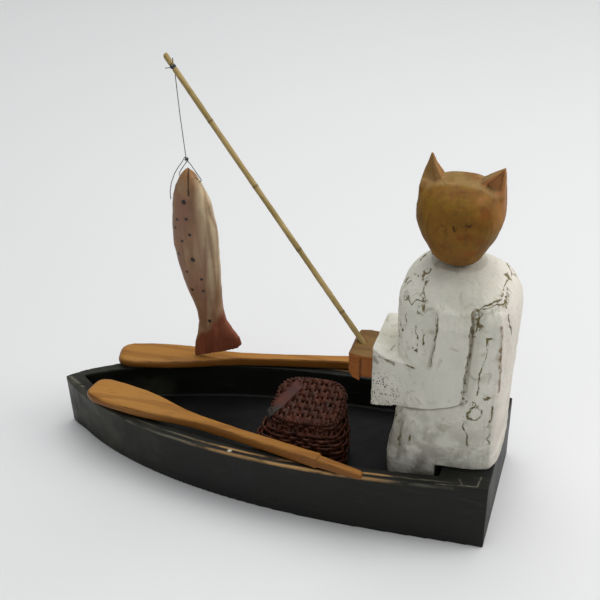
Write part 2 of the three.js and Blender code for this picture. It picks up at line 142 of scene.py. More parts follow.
# ---- materials ----
class Look:
    """A material being built: short names for the nodes that the wood and paint looks are made of."""

    def __init__(self, name):
        self.material = bpy.data.materials.new(name)
        self.material.use_nodes = True
        self.tree = self.material.node_tree
        self.shader = self.tree.nodes["Principled BSDF"]
        self.place = self.add("ShaderNodeTexCoord").outputs["Object"]
        self.colour = None

    def add(self, kind, inputs=None, **settings):
        node = self.tree.nodes.new(kind)
        for key, value in settings.items():
            setattr(node, key, value)
        self.fill(node, inputs or {})
        return node

    def fill(self, node, inputs):
        for socket, value in inputs.items():
            self.put(node.inputs[socket], value)

    def put(self, socket, value):
        """Links a socket to another one, or sets it to a number, a vector or a hexadecimal colour."""
        if isinstance(value, bpy.types.NodeSocket):
            self.tree.links.new(value, socket)
        else:
            socket.default_value = linear(value) if isinstance(value, str) else value

    def stretched(self, stretch, turn=(0, 0, 0)):
        inputs = {"Vector": self.place, "Rotation": turn, "Scale": stretch}
        return self.add("ShaderNodeMapping", inputs).outputs["Vector"]

    def noise(self, scale, detail=4.0, stretch=(1, 1, 1), turn=(0, 0, 0), distortion=0.0):
        inputs = {"Scale": scale, "Detail": detail, "Roughness": 0.55, "Distortion": distortion}
        inputs["Vector"] = self.stretched(stretch, turn)
        return self.add("ShaderNodeTexNoise", inputs).outputs["Fac"]

    def cells(self, scale):
        inputs = {"Scale": scale, "Vector": self.stretched((1, 1, 1))}
        return self.add("ShaderNodeTexVoronoi", inputs, feature="F1").outputs["Distance"]

    def rings(self, scale, distortion, stretch, turn):
        inputs = {"Scale": scale, "Distortion": distortion, "Detail": 3.0}
        inputs["Vector"] = self.stretched(stretch, turn)
        node = self.add("ShaderNodeTexWave", inputs, wave_type="RINGS", rings_direction="X")
        return node.outputs["Fac"]

    def attribute(self, name):
        return self.add("ShaderNodeAttribute", attribute_name=name).outputs["Fac"]

    def marked(self, name, amount):
        return self.times(self.attribute(name), amount)

    def spread(self, value, low, high, to_low=0.0, to_high=1.0):
        inputs = {"Value": value, "From Min": low, "From Max": high}
        inputs.update({"To Min": to_low, "To Max": to_high})
        return self.add("ShaderNodeMapRange", inputs).outputs["Result"]

    def math(self, operation, a, b=0.0):
        return self.add("ShaderNodeMath", {0: a, 1: b}, operation=operation).outputs[0]

    def times(self, a, b):
        return self.math("MULTIPLY", a, b)

    def plus(self, a, b):
        return self.math("ADD", a, b)

    def mix(self, factor, a, b):
        inputs = {"Factor": factor, 6: a, 7: b}
        return self.add("ShaderNodeMix", inputs, data_type="RGBA").outputs[2]

    def height(self):
        """The Z coordinate, in metres."""
        return self.add("ShaderNodeSeparateXYZ", {0: self.place}).outputs["Z"]

    def coat(self, amount, colour):
        """Lays a colour over what is there already, where amount is 1."""
        self.colour = self.mix(amount, self.colour, colour)

    def finish(self, roughness, height, bump=0.2, specular=0.4):
        bumps = self.add("ShaderNodeBump", {"Strength": bump, "Distance": 0.001, "Height": height})
        inputs = {"Base Color": self.colour, "Roughness": roughness, "Specular IOR Level": specular}
        inputs["Normal"] = bumps.outputs["Normal"]
        self.fill(self.shader, inputs)
        return self.material


ALONG_X = (0.08, 1, 1)
ALONG_Z = (1, 1, 0.08)


def black_paint():
    """Marks: grey dusting together with a painted sheen on the far inner wall, worn through to wood (fresh
    or grey), painted shade in the hollow, and one pale chip.
    """
    look = Look("black_paint")
    brushed = look.noise(260, stretch=ALONG_X)
    cloudy = look.noise(28, detail=5)
    look.colour = look.mix(look.spread(cloudy, 0.35, 0.7), "0e100c", "191a16")
    look.coat(look.spread(brushed, 0.55, 0.75, 0, 0.35), "2a2922")
    scuffs = look.spread(look.noise(90, stretch=(0.2, 1, 1), distortion=1.5), 0.64, 0.74, 0, 0.4)
    look.coat(scuffs, "3a382e")
    # Grey dusting on the rim and transom, and in the same mark a painted sheen on the far inner wall
    # towards the bow.
    dust_and_sheen_amount = look.marked("dust_and_sheen", look.spread(look.noise(60, detail=5), 0.3, 0.7))
    look.coat(dust_and_sheen_amount, "4d4c42")
    patchy = look.spread(look.noise(190, stretch=(0.25, 1, 1)), 0.38, 0.54)
    worn = look.marked("worn", patchy)
    bare = look.mix(look.attribute("fresh"), "8b8774", "b18a58")
    look.coat(look.attribute("shade"), "080908")
    look.coat(worn, bare)
    look.coat(look.attribute("chip"), "c4bda8")
    roughness = look.spread(cloudy, 0.3, 0.7, 0.42, 0.62)
    height = look.plus(brushed, look.noise(600))
    return look.finish(roughness, height, bump=0.14, specular=0.22)


def white_paint():
    """Marks: crack, flakes and stain show wood; smudge and specks are dirt; the crease mark is painted
    shade; a pinkish tint with painted light lies on sides facing the stern, and painted light on tops
    facing up.
    """
    look = Look("white_paint")
    cloudy = look.noise(40, detail=6)
    look.colour = look.mix(look.spread(cloudy, 0.35, 0.65), "d3d1c3", "e3e0d3")
    grime = look.spread(look.noise(22, detail=6, distortion=0.6), 0.52, 0.7, 0, 0.5)
    look.coat(grime, "bdb7a4")
    low = look.spread(look.height(), 0.1, 0.035, 0, 0.8)
    low = look.times(low, look.spread(look.noise(60, detail=6, distortion=0.5), 0.42, 0.56))
    look.coat(low, "7f7969")
    blots = look.spread(look.noise(110, detail=5, distortion=1.0), 0.57, 0.68, 0, 0.5)
    look.coat(blots, "a39b86")
    # A pinkish tint together with painted light on sides facing the stern.
    look.coat(look.marked("pink_tint_and_light", 0.5), "e2d8cf")
    # Painted light: tops facing up, high on the body, are lighter.
    look.coat(look.marked("edge", look.spread(cloudy, 0.4, 0.6)), "eae8df")
    scratched = look.spread(look.noise(85, detail=5, distortion=1.5), 0.4, 0.6, -1, 1)
    scratched = look.math("ABSOLUTE", scratched)
    hairline = look.times(look.spread(scratched, 0.0, 0.05, 0.7, 0), look.spread(cloudy, 0.5, 0.6))
    look.coat(hairline, "8f8567")
    specks = look.spread(look.cells(560), 0.34, 0.26)
    specks = look.times(specks, look.spread(look.noise(260), 0.46, 0.5))
    look.coat(look.times(specks, look.attribute("specks")), "3b382e")
    ragged = look.noise(520, detail=3)
    flaked = look.marked("flakes", look.spread(look.noise(420, detail=4), 0.52, 0.57))
    crack = look.plus(look.attribute("crack"), look.spread(ragged, 0.3, 0.7, -0.42, 0.42))
    crack = look.math("MAXIMUM", look.spread(crack, 0.42, 0.6), flaked)
    fringe = look.spread(look.attribute("crack"), 0.08, 0.5, 0, 0.5)
    fringe = look.times(fringe, look.spread(ragged, 0.42, 0.56))
    look.coat(fringe, "8d8560")
    bare = look.mix(look.spread(look.noise(300), 0.4, 0.6), "645836", "85784c")
    look.coat(crack, bare)
    # Painted shade in the creases beside the sleeves, under the hem and in the groove between the shins.
    look.coat(look.marked("crease_shade", 0.7), "746f5b")
    look.coat(look.marked("smudge", 0.75), "8b8272")
    stain = look.marked("stain", look.spread(ragged, 0.25, 0.5))
    look.coat(stain, "705226")
    fine = look.plus(look.noise(500, stretch=ALONG_Z), look.times(cloudy, 2.0))
    fine = look.plus(fine, look.times(ragged, 0.8))
    height = look.math("SUBTRACT", fine, look.times(crack, 2.0))
    return look.finish(look.spread(cloudy, 0.3, 0.7, 0.55, 0.75), height, bump=0.55, specular=0.25)


def golden_stain():
    """Marks: a lighter top of the head, partly its stain and partly painted light; olive and ruddy smudges;
    ear hollows; painted light on cheeks and ears facing the stern; dark cuts.
    """
    look = Look("golden_stain")
    cloudy = look.noise(55, detail=6)
    # The top of the head is lighter, partly its stain and partly painted light.
    up = look.attribute("crown_tone_and_light")
    look.colour = look.mix(up, "724c19", "8a6c40")
    look.coat(look.spread(cloudy, 0.42, 0.6, 0, 0.8), look.mix(up, "845d20", "987a4c"))
    red = look.spread(look.noise(85, detail=3, distortion=0.5), 0.56, 0.64, 0, 0.5)
    look.coat(red, "70390f")
    green = look.spread(look.noise(70, detail=3, turn=(1, 2, 0)), 0.58, 0.66, 0, 0.45)
    look.coat(green, "6d5a1a")
    smudged = look.spread(look.noise(130, detail=4, distortion=0.8), 0.4, 0.6)
    look.coat(look.marked("olive", smudged), "7d681b")
    look.coat(look.marked("ruddy", smudged), "7d3d16")
    grain = look.noise(240, stretch=ALONG_Z, distortion=0.8)
    look.coat(look.spread(grain, 0.5, 0.7, 0, 0.35), "432c10")
    look.coat(look.attribute("ear"), "b0784a")
    # Painted light on the sides of the head facing the stern.
    look.coat(look.marked("rim", 0.5), "a8713e")
    look.coat(look.attribute("dark"), "1c1309")
    height = look.plus(look.times(grain, 0.6), look.times(cloudy, 2.0))
    return look.finish(look.spread(cloudy, 0.3, 0.7, 0.5, 0.7), height, bump=0.4, specular=0.15)


def grained_wood(name, pale, dark, ring, stretch, turn=(0, 0, 0), roughness=0.5, edge=None):
    """Wood with its grain along stretch. Marks: side in the edge colour, and cut as dark lines."""
    look = Look(name)
    cloudy = look.noise(30, detail=5, stretch=stretch)
    look.colour = look.mix(look.spread(cloudy, 0.35, 0.7), pale, dark)
    rings = look.rings(38, 6.0, stretch, turn)
    look.coat(look.spread(rings, 0.55, 0.95, 0, 0.4), ring)
    pores = look.noise(900, detail=2, stretch=stretch)
    look.coat(look.spread(pores, 0.6, 0.72, 0, 0.55), ring)
    if edge:
        look.coat(look.marked("side", 0.75), edge)
        ragged = look.spread(look.noise(300, stretch=stretch), 0.35, 0.6)
        look.coat(look.marked("cut", ragged), "3a1d0c")
    height = look.plus(pores, look.times(rings, 0.7))
    roughness = look.spread(cloudy, 0.3, 0.7, roughness - 0.06, roughness + 0.1)
    return look.finish(roughness, height, bump=0.15, specular=0.25)


def bamboo_skin():
    look = Look("bamboo_skin")
    fibres = look.noise(1400, detail=2, stretch=(0.05, 1, 0.05))
    cloudy = look.noise(40, detail=4)
    look.colour = look.mix(look.spread(cloudy, 0.35, 0.65), "927c45", "b09762")
    look.coat(look.spread(fibres, 0.52, 0.68, 0, 0.5), "6d5a2e")
    look.coat(look.spread(look.noise(160, stretch=(0.06, 1, 0.06)), 0.58, 0.7, 0, 0.5), "77682f")
    look.coat(look.attribute("node_ring"), "5c4a26")
    return look.finish(0.45, fibres, bump=0.2)


def thread_fibre():
    look = Look("thread_fibre")
    twist = look.noise(2600, detail=2, stretch=(1, 1, 0.6), turn=(0.6, 0.4, 0))
    look.colour = look.mix(look.spread(twist, 0.4, 0.6), "37383a", "5a5c5f")
    return look.finish(0.8, twist, bump=0.4, specular=0.2)


def fish_paint():
    look = Look("fish_paint")
    cloudy = look.noise(50, detail=5)
    look.colour = look.mix(look.spread(cloudy, 0.35, 0.65), "866144", "9b7755")
    streaks = look.noise(170, detail=5, stretch=(1, 1, 0.14), distortion=0.6)
    look.coat(look.spread(streaks, 0.5, 0.66, 0, 0.55), "705038")
    look.coat(look.spread(streaks, 0.46, 0.36, 0, 0.5), "a98d6e")
    pale = look.marked("belly", look.spread(streaks, 0.62, 0.42, 0.25, 1))
    look.coat(pale, "ccb996")
    look.coat(look.attribute("snout"), "9c6f42")
    rose = look.spread(look.noise(60, detail=3, stretch=(1, 1, 0.4)), 0.54, 0.66, 0, 0.5)
    look.coat(rose, "875a48")
    tail = look.plus(look.attribute("tail"), look.spread(cloudy, 0.35, 0.65, -0.3, 0.3))
    look.coat(look.spread(tail, 0.3, 0.75), "80452c")
    look.coat(look.marked("tail", look.spread(streaks, 0.5, 0.62)), "9a5439")
    look.coat(look.attribute("spot"), "191412")
    height = look.plus(streaks, look.times(cloudy, 2.0))
    return look.finish(look.spread(cloudy, 0.3, 0.7, 0.36, 0.52), height, bump=0.3, specular=0.4)


def wicker_paint():
    look = Look("wicker_paint")
    cloudy = look.noise(160, detail=5)
    look.colour = look.mix(look.spread(cloudy, 0.35, 0.65), "301407", "4e2412")
    rubbed = look.spread(look.noise(520, detail=4), 0.56, 0.68, 0, 0.6)
    look.coat(rubbed, "80503a")
    height = look.plus(look.noise(1500, detail=3), cloudy)
    return look.finish(look.spread(cloudy, 0.3, 0.7, 0.4, 0.6), height, bump=0.35, specular=0.25)


def wicker_shade():
    """Painted shade: the dark core inside the creel, seen between the strands."""
    look = Look("wicker_shade")
    cloudy = look.noise(200, detail=3)
    look.colour = look.mix(cloudy, "0a0504", "1c0d09")
    return look.finish(0.8, cloudy, bump=0.3, specular=0.15)


def strap_leather():
    look = Look("strap_leather")
    cloudy = look.noise(120, detail=5)
    upper = look.mix(look.spread(cloudy, 0.35, 0.65), "3d1a12", "5a2c20")
    look.colour = look.mix(look.attribute("lower"), upper, "383532")
    roughness = look.spread(cloudy, 0.3, 0.7, 0.5, 0.7)
    return look.finish(roughness, look.noise(900), bump=0.2, specular=0.3)


# ---- meshes ----
def soft_noise(points, wavelength, seed):
    """Smooth noise from -1 to 1 at points in millimetres."""
    size = 32
    grid = np.random.default_rng(seed).uniform(-1, 1, (size, size, size))
    scaled = points / wavelength
    low = np.floor(scaled).astype(int)
    part = scaled - low
    part = part * part * (3 - 2 * part)
    total = np.zeros(len(points))
    for corner in np.ndindex(2, 2, 2):
        weight = np.prod(np.where(corner, part, 1 - part), axis=1)
        index = (low + corner) % size
        total += weight * grid[index[:, 0], index[:, 1], index[:, 2]]
    return total


def vertices(mesh):
    """The vertices of a mesh, in millimetres."""
    places = np.empty(len(mesh.vertices) * 3, np.float32)
    mesh.vertices.foreach_get("co", places)
    return places.reshape(-1, 3).astype(float) / MM


def normals(mesh):
    directions = np.empty(len(mesh.vertices) * 3, np.float32)
    mesh.vertices.foreach_get("normal", directions)
    return directions.reshape(-1, 3).astype(float)


def move(mesh, places):
    mesh.vertices.foreach_set("co", (places * MM).astype(np.float32).ravel())
    mesh.update()


def push(mesh, depth):
    """Moves each vertex out along its normal by depth, in millimetres."""
    move(mesh, vertices(mesh) + normals(mesh) * depth[:, None])


def mark(mesh, name, values):
    layer = mesh.attributes.new(name, "FLOAT", "POINT")
    layer.data.foreach_set("value", np.clip(values, 0, 1).astype(np.float32))


def ramp(values, low, high):
    """0 at low and 1 at high, smoothly."""
    t = np.clip((values - low) / (high - low), 0, 1)
    return t * t * (3 - 2 * t)


def bell(values, width):
    """1 at 0, falling smoothly to nothing at about twice the width."""
    return np.exp(-((values / width) ** 2))


def distance_to_path(points, path):
    """How far 2-D points are from a broken line."""
    nearest = np.full(len(points), np.inf)
    for start, end in zip(path, path[1:]):
        start, end = np.array(start, float), np.array(end, float)
        step = end - start
        t = np.clip((points - start) @ step / max(step @ step, 1e-9), 0, 1)
        nearest = np.minimum(nearest, np.linalg.norm(points - start - t[:, None] * step, axis=1))
    return nearest


def patches(points, spots):
    """1 in ragged spots seen from the side, given as (x, z, radius), and 0 elsewhere."""
    field = np.zeros(len(points))
    for spot_x, spot_z, radius in spots:
        away = np.hypot(points[:, 0] - spot_x, points[:, 2] - spot_z) + 1.2 * soft_noise(points, 4, 45)
        field = np.maximum(field, ramp(away, radius * 1.3, radius * 0.4))
    return field


def soften(mesh, mask, rounds):
    """Smooths the mesh where mask is 1."""
    ends = np.empty(2 * len(mesh.edges), int)
    mesh.edges.foreach_get("vertices", ends)
    first, second = ends.reshape(-1, 2).T
    count = np.bincount(ends, minlength=len(mesh.vertices))
    points = vertices(mesh)
    for _ in range(rounds):
        mean = np.zeros_like(points)
        for axis in range(3):
            mean[:, axis] = np.bincount(first, points[second, axis], len(points))
            mean[:, axis] += np.bincount(second, points[first, axis], len(points))
        points += 0.6 * mask[:, None] * (mean / count[:, None] - points)
    move(mesh, points)


def piece_from(name, mesh, body, slot, material, *nodes):
    piece = add_object(name, mesh)
    mesh.materials.clear()
    mesh.materials.append(material)
    if nodes:
        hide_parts(*nodes)
    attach(piece, body)
    return piece


def fine_copy(node, voxel, smoothing):
    """A finely meshed copy of a CAD node, its edges a little rounded as by sandpaper."""
    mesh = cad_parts[node].data.copy()
    shell = bmesh.new()
    shell.from_mesh(mesh)
    bmesh.ops.remove_doubles(shell, verts=shell.verts, dist=1e-6)
    shell.to_mesh(mesh)
    shell.free()
    holder = add_object("holder", mesh)
    remesh = holder.modifiers.new("remesh", "REMESH")
    remesh.mode = "VOXEL"
    remesh.voxel_size = voxel * MM
    smooth = holder.modifiers.new("smooth", "SMOOTH")
    smooth.factor = 0.5
    smooth.iterations = smoothing
    graph = bpy.context.evaluated_depsgraph_get()
    shaped = bpy.data.meshes.new_from_object(holder.evaluated_get(graph))
    bpy.data.objects.remove(holder)
    bpy.data.meshes.remove(mesh)
    if "sharp_face" in shaped.attributes:
        shaped.attributes.remove(shaped.attributes["sharp_face"])
    shaped.shade_smooth()
    return shaped


def knife_marks(mesh, amount, wavelength, seed):
    """Shallow, uneven flats such as hand carving leaves."""
    points = vertices(mesh)
    wavy = soft_noise(points, wavelength, seed) + 0.5 * soft_noise(points, wavelength / 2.3, seed + 1)
    push(mesh, amount * (np.abs(wavy) - 0.35))


# ---- hull ----
RIM_HEIGHT = 42.1  # amidships
RIM_RISE = 0.035  # per millimetre towards the stern
WORN_INSET = 4.6  # a second rubbed line runs inside the rim's outer edge
STERN_ROUND = 3.2  # the transom's upright corners are rounded to this radius
CHIP = [-14, -49.8, 41.6]
# Scratches on top of the rim: (x, y) points, strength, half width.
RIM_SCRATCHES = (
    ([(118, -50), (143, -46.5), (144, -37)], 0.6, 0.35),
    ([(-147, 0), (-142, -3.2), (-133, -9.2)], 0.5, 0.7),
    ([(126, -52), (134, -47), (131, -42)], 0.4, 0.3),
)


def half_beam(points):
    """Half the hull's width at each point's place along the boat."""
    step = 3
    x = points[:, 0]
    bins = ((x - x.min()) / step).astype(int)
    beam = np.zeros(bins.max() + 1)
    np.maximum.at(beam, bins, np.abs(points[:, 1]))
    middles = x.min() + (np.arange(len(beam)) + 0.5) * step
    return np.interp(x, middles, beam)


def round_stern(points):
    """Moves the points by the transom's upright corners in to a radius."""
    x, y = points[:, 0], points[:, 1]
    moved = points.copy()
    centre_x = x.max() - STERN_ROUND
    centre_y = np.abs(y).max() - STERN_ROUND - 1
    out = np.stack([x - centre_x, np.abs(y) - centre_y], axis=1)
    far = np.linalg.norm(out, axis=1)
    corner = (out > 0).all(axis=1) & (far > STERN_ROUND)
    scale = STERN_ROUND / np.maximum(far, STERN_ROUND)
    moved[corner, 0] = centre_x + out[corner, 0] * scale[corner]
    moved[corner, 1] = np.sign(points[corner, 1]) * (centre_y + out[corner, 1] * scale[corner])
    return moved


def make_hull():
    mesh = fine_copy("hull", 0.7, 5)
    points = round_stern(vertices(mesh))
    move(mesh, points)
    x, y, z = points.T
    wavy = soft_noise(points, 19, 11) + 0.5 * soft_noise(points, 8, 12)
    push(mesh, 0.2 * (np.abs(wavy) - 0.35) * ramp(z, 1.5, 8))
    rim = RIM_HEIGHT + RIM_RISE * x
    inset = half_beam(points) - np.abs(y)
    top = ramp(z, rim - 2.6, rim - 0.8)
    wander = 0.5 * soft_noise(points, 16, 6)
    fresh = ramp(x, -60, -15) * ramp(x, 108, 80)
    width = 0.35 + 0.3 * fresh
    edge = bell(inset - 0.3 + wander, width)
    inner = bell(inset - WORN_INSET + wander, width)
    amidships = ramp(x, -112, -85) * ramp(x, 140, 100) * (0.55 + 0.45 * fresh)
    near = np.where(y < 0, 1, 0.45)
    patchy = 0.5 + 0.5 * soft_noise(points * [0.5, 1, 1], 9, 5)
    worn = top * near * amidships * (edge * (0.6 + 0.8 * patchy) + inner * (0.8 + 0.8 * patchy))
    for path, strength, width in RIM_SCRATCHES:
        line = distance_to_path(points[:, :2] + wander[:, None] * 0.5, path)
        worn += top * strength * bell(line, width)
    mark(mesh, "worn", worn)
    mark(mesh, "fresh", fresh)
    facing = normals(mesh)
    mark(mesh, "shade", ramp(facing[:, 2], 0.6, 0.9) * ramp(z, 42, 20))
    dust_and_sheen = top * ramp(x, -60, -140) + 0.45 * ramp(x, 149, 149.8)
    # Painted sheen: a patch of reflected light on the far inner wall towards the bow, put into the dusting
    # mark.
    painted_sheen = ramp(np.abs(x + 100), 22, 4) * ramp(z, 33, 24) * ramp(facing[:, 1], -0.5, -0.8)
    dust_and_sheen += 3 * np.where(y > 8, painted_sheen, 0)
    bow = ramp(x, -40, -150) * (y < 0) * ramp(inset, 8, 4)
    mark(mesh, "dust_and_sheen", dust_and_sheen * 0.4 + bow * 0.9)
    chip = np.linalg.norm(points - CHIP, axis=1)
    mark(mesh, "chip", ramp(chip, 1.7, 0.8))
    push(mesh, -0.3 * ramp(chip, 2.0, 0.7) - 0.12 * np.clip(worn, 0, 1))
    piece_from("boat_hull", mesh, "boat", "black_paint", black_paint(), "hull")


# ---- cat ----
# Cracks in the paint of the near side, as (x, z) points.
NEAR_CRACKS = [
    [(100, 174), (97, 171), (91, 168), (86, 161)],
    [(97, 171), (99, 169), (99, 165), (101, 161), (100, 155)],
    [(88, 158), (93, 157), (96, 160), (100, 161)],
    [(90, 150), (90, 144)],
    [(97, 145), (98, 135), (98, 125)],
    [(102, 140), (102, 133)],
    [(110, 155), (109, 136), (107, 120)],
    [(129, 160), (130, 140), (129, 126), (128, 104)],
    [(132, 161), (133, 151), (131, 146)],
    [(131, 160), (135, 163), (143, 165), (144, 168)],
    [(145.6, 94), (144.9, 80), (144.7, 67)],
    [(138, 143), (140, 134), (137, 124), (136, 103)],
    [(137, 143), (142, 143)],
    [(140, 101), (144, 100)],
    [(136, 97), (131, 87), (129, 79), (132, 73), (133, 66)],
    [(97, 65), (96, 59)],
    [(91, 72), (90, 54)],
    [(74, 113.4), (79, 113), (84, 112.4)],
    [(93, 116), (98, 115)],
    [(134, 148), (132, 154), (135, 158), (131, 162)],
    [(84, 140), (88, 138), (87, 133)],
    [(84, 118), (86, 125), (85, 134)],
]
# Cracks of the side facing the stern, as (y, z) points.
STERN_CRACKS = [
    [(-28, 161), (-22, 163), (-17, 162), (-9, 166)],
    [(-17, 163), (-20, 159), (-21, 150), (-19, 141)],
    [(-6, 148), (-5, 130), (-7, 112), (-5, 96)],
    [(9, 139), (8, 121), (10, 104)],
    [(17, 92), (15, 78), (18, 62)],
]
STAIN = [(-26.6, 151), (-26.4, 128), (-25.1, 104)]  # a brown streak beside them
OVAL = (135.6, 89.6, 3.9, 5.2)  # an outlined oval knot: centre (x, z), half width, half height
CRACK_WIDTH = 0.5
LEG_GROOVE_X = 90  # an upright groove between the shins
# Where the paint has come off in specks, as x, z, radius.
FLAKES = [
    (132.5, 154, 4.5), (143.5, 163, 4), (131, 142, 2), (98, 171, 3), (99.5, 163, 2.5),
    (99, 155, 3), (89, 158, 2.5), (97, 128, 2), (128.5, 99, 2.5), (135, 97, 3), (132, 86, 3),
    (142, 101, 2.5), (143, 27, 5), (86, 70, 3),
]
# Grey smudges round the near cuff, as (x, y, z) points with their radius.
SMUDGES = [
    ([(70.8, -21.4, 111), (73, -22, 109)], 2.2),
    ([(79.5, -25.4, 113.3), (84.5, -26.6, 113.6)], 1.3),
    ([(79.9, -16, 115), (81, -10.4, 115)], 0.7),
]
# Edges carved on both sides of the body, as (x, z) points.
ARM_FRONT = [(107, 119), (109.6, 136), (109.7, 156)]
ARM_BACK = [(126.6, 97), (127.7, 106), (129.8, 140), (129.2, 159)]
ELBOW_LINE = [(130, 158), (130.5, 140), (129.5, 104)]
HEM = [(85.3, 82.4), (96.3, 85.4), (109, 89.5), (121, 93.6), (128, 97.5)]
SHOULDER = [(109, 158), (120, 157), (130, 159), (135, 163), (143, 165), (143.6, 168)]
BACK_CORNER = [(144.4, 156), (145.9, 128), (147, 100), (146.5, 60), (146, 45)]


def crack_field(points):
    """1 in a crack and 0 away from it. The far side has the near side's cracks, shifted."""
    x, y = points[:, 0], points[:, 1]
    bent = points + 1.1 * np.stack([soft_noise(points, 3.2, seed) for seed in (21, 22, 23)], axis=1)
    side = bent[:, [0, 2]]
    stern = bent[:, 1:]
    field = np.zeros(len(points))
    width = CRACK_WIDTH * (0.7 + 0.8 * np.clip(soft_noise(points, 5, 24), -0.4, 1))
    for path in NEAR_CRACKS:
        line = bell(distance_to_path(side, path), width)
        field = np.maximum(field, np.where(y < 0, line, 0))
        far = [(along + 3 * math.sin(up), up + 2) for along, up in path]
        line = bell(distance_to_path(side, far), width)
        field = np.maximum(field, np.where(y > 0, line, 0))
    for path in STERN_CRACKS:
        line = bell(distance_to_path(stern, path), width)
        field = np.maximum(field, np.where(x > 131, line, 0))
    middle_x, middle_z, half_width, half_height = OVAL
    oval = np.hypot((side[:, 0] - middle_x) / half_width, (side[:, 1] - middle_z) / half_height)
    ring = bell((oval - 1) * half_width, 0.3) * 0.75
    field *= ramp(soft_noise(points, 4.5, 26), -0.8, -0.3)
    return np.maximum(field, np.where(y < 0, ring, 0))


def beside(points, edge):
    """How far points lie towards the stern of an upright edge given as (x, z) points."""
    edge = np.array(edge, float)
    return points[:, 0] - np.interp(points[:, 2], edge[:, 1], edge[:, 0])


def carve_planes(points):
    """The sleeves' steps, the hem and the crisp edges: how far out, and how much painted shade lies in the
    creases.
    """
    x, y, z = points.T
    side = ramp(np.abs(y), 12, 22)
    front = beside(points, ARM_FRONT)
    upright = ramp(z, 117, 121) * ramp(z, 160, 154)
    depth = -1.5 * ramp(front, 0.2, -0.9) * ramp(front, -10, -3) * upright
    # Painted shade in the creases along the arm's front, the arm's back, under the hem and in the shin
    # groove.
    crease_shade = 0.8 * bell(front + 1.0, 0.9) * upright
    back = beside(points, ARM_BACK)
    upright = ramp(z, 95, 101) * ramp(z, 164, 157)
    depth -= 2.1 * ramp(back, -0.6, 0.5) * ramp(back, 8, 1.2) * upright
    crease_shade += bell(back - 0.8, 0.9) * upright
    hem_x, hem_z = np.array(HEM).T
    below = z - np.interp(x, hem_x, hem_z)
    along = ramp(x, 84, 87) * ramp(x, 130, 126)
    depth -= 2.3 * ramp(below, 0.3, -0.5) * ramp(below, -13, -2) * along
    crease_shade += 1.5 * bell(below + 2.2, 1.1) * along
    face = points[:, [0, 2]]
    depth += 0.8 * bell(distance_to_path(face, SHOULDER), 1.8)
    depth += 0.9 * bell(distance_to_path(face, BACK_CORNER), 2.2)
    legs = bell(x - LEG_GROOVE_X, 1.6) * ramp(z, 78, 70) * ramp(z, 36, 44)
    depth -= 0.9 * legs
    return depth * side, np.clip((crease_shade + 0.6 * legs) * side, 0, 1.3)


def make_cat_body():
    mesh = fine_copy("cat_body", 0.5, 2)
    knife_marks(mesh, 0.3, 12, 31)
    points = vertices(mesh)
    shin = ramp(points[:, 0], 98, 86) * ramp(points[:, 2], 62, 40)
    points[:, 0] += shin * (3.5 * ramp(points[:, 2], 28, 20) - 1.8)
    move(mesh, points)
    depth, crease_shade = carve_planes(points)
    push(mesh, depth)
    # Painted shade in the creases.
    mark(mesh, "crease_shade", crease_shade)
    points = vertices(mesh)
    x, y, z = points.T
    facing = normals(mesh)
    mark(mesh, "flakes", patches(points, FLAKES) * np.where(np.abs(y) > 8, 1, 0))
    flaked = np.clip(soft_noise(points, 4.5, 33) + 0.5 * soft_noise(points, 2, 34) - 0.25, 0, 1)
    push(mesh, 0.07 * soft_noise(points, 1.7, 35) - 0.3 * flaked)
    sleeve_top = ramp(facing[:, 2], 0.5, 0.8) * ramp(z, 125, 118)
    cracks = crack_field(points) * (1 - sleeve_top)
    stained = distance_to_path(points[:, 1:], STAIN) + 0.5 * soft_noise(points, 3, 25)
    stain = np.where(x > 140, bell(stained, 0.8), 0)
    elbow = distance_to_path(points[:, [0, 2]], ELBOW_LINE)
    stain = np.maximum(stain, np.where(y < 0, 0.5 * bell(elbow, 0.5), 0))
    cuff = ramp(x, 101, 78) * ramp(z, 112, 92) * ramp(z, 73, 75)
    speckled = np.maximum(cuff, ramp(x, 74, 71) * ramp(z, 114, 108))
    smudged = [ramp(distance_to_path(points, path), radius, radius * 0.4) for path, radius in SMUDGES]
    mark(mesh, "smudge", np.max(smudged, axis=0))
    mark(mesh, "crack", cracks)
    mark(mesh, "stain", stain)
    mark(mesh, "specks", speckled * np.where(np.abs(y) > 15, 1, 0.5))
    # A pinkish tint together with painted light on sides facing the stern.
    mark(mesh, "pink_tint_and_light", ramp(facing[:, 0], 0.3, 0.8))
    # Painted light: tops facing up, high on the body, are lighter.
    mark(mesh, "edge", ramp(facing[:, 2], 0.5, 0.9) * ramp(z, 130, 110))
    push(mesh, -0.6 * cracks)
    piece_from("cat_body_carved", mesh, "boat", "white_paint", white_paint(), "cat_body")


# Cuts in the face, as (x, z) points with their half width and strength.
FACE_CUTS = [
    ([(120.6, 212.2), (121.7, 212), (122.4, 211.5), (123.2, 212.7)], 0.4, 0.9),
    ([(106.6, 210.2), (108.6, 209.8)], 0.6, 0.35),
    ([(113.5, 210.4), (114.4, 208)], 0.5, 0.9),
    ([(115.6, 209.9), (114.6, 208)], 0.35, 0.5),
    ([(108.4, 206.6), (109.6, 209), (110.4, 204.5)], 0.55, 0.3),
    ([(104, 208), (105.5, 204)], 0.5, 0.2),
]
# Reddish and olive patches, as x, z, radius.
RUDDY = [(117.4, 203.8, 2.6), (123.4, 201.6, 2.8), (128.8, 201.5, 3.4), (130.8, 217.5, 3), (124, 193, 4)]
OLIVE = [(136.5, 213, 7), (134.5, 206, 6), (95.5, 216, 9), (94, 203, 6), (113, 221, 11)]
HEAD_X = 114  # the head's middle, along the boat
FACE_X = 114.5
EYES_Z = 211
MUZZLE_Z = 203
EAR_FOOT = 222  # height where the ears' front faces run into the head


